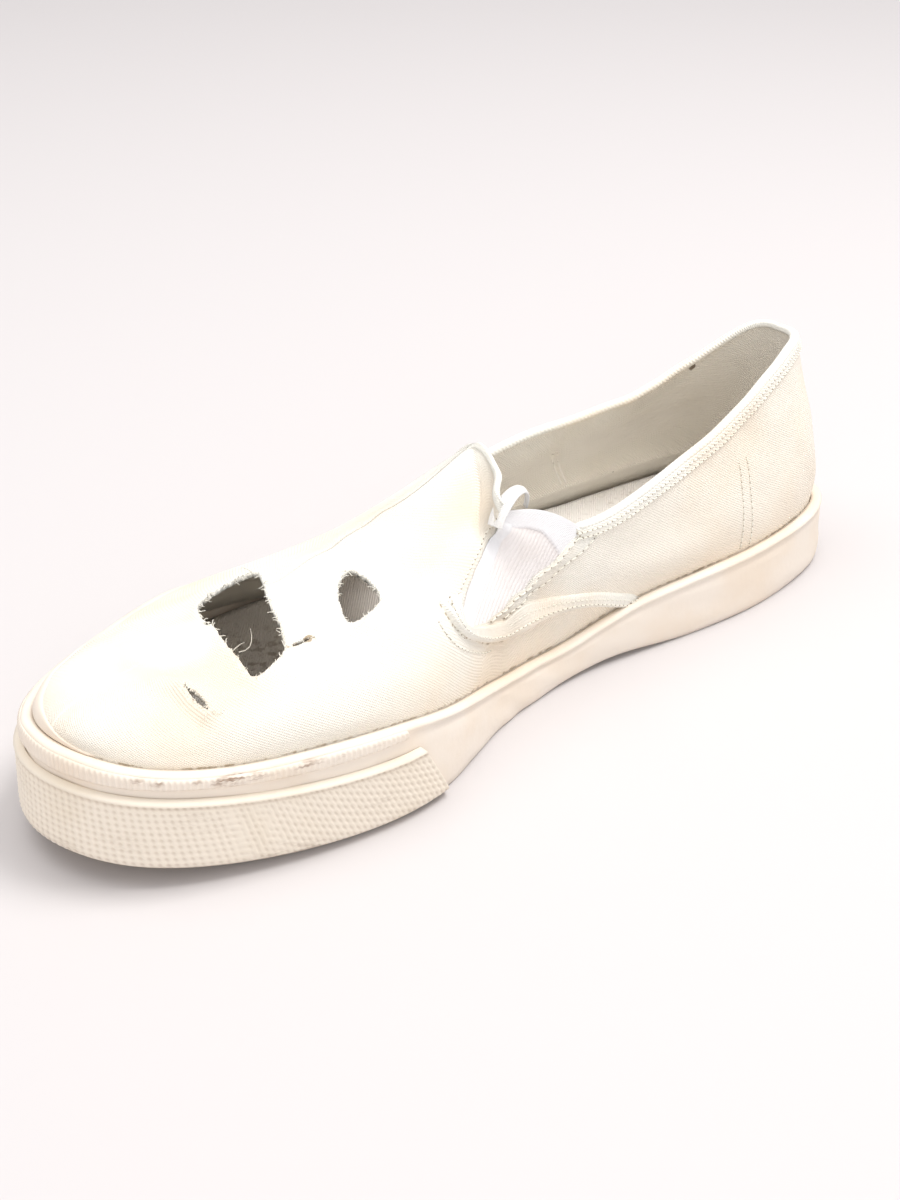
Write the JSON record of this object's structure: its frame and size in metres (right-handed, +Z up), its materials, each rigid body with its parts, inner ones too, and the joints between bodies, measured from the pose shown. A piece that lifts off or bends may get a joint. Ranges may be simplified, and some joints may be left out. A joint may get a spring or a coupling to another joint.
{
  "type": "slip-on sneaker",
  "caption": "Worn canvas slip-on sneaker for the right foot, with a torn vamp, elastic gores at the opening, a rubber foxing band and a toe bumper.",
  "frame": {"origin": "middle of the shoe's box on the floor it stands on", "axes": "+X towards the toe, +Y towards the inner side of the foot, +Z up"},
  "size_m": [0.29, 0.108, 0.0709],
  "materials": {
    "outsole": "worn matt rubber",
    "foxing": "cream rubber, scuffed, slightly glossy",
    "bumper": "cream rubber with fine embossing, dirty",
    "insole": "flattened dirty cotton",
    "canvas": "plain cotton canvas, frayed where torn",
    "elastic": "ribbed elastic"
  },
  "bodies": {
    "root": {"outsole": "outsole", "foxing": "foxing", "toe_bumper": "bumper", "toe_strip": "bumper", "insole": "insole", "upper": "canvas", "gore_inner": "elastic", "gore_outer": "elastic"}
  },
  "joints": []
}
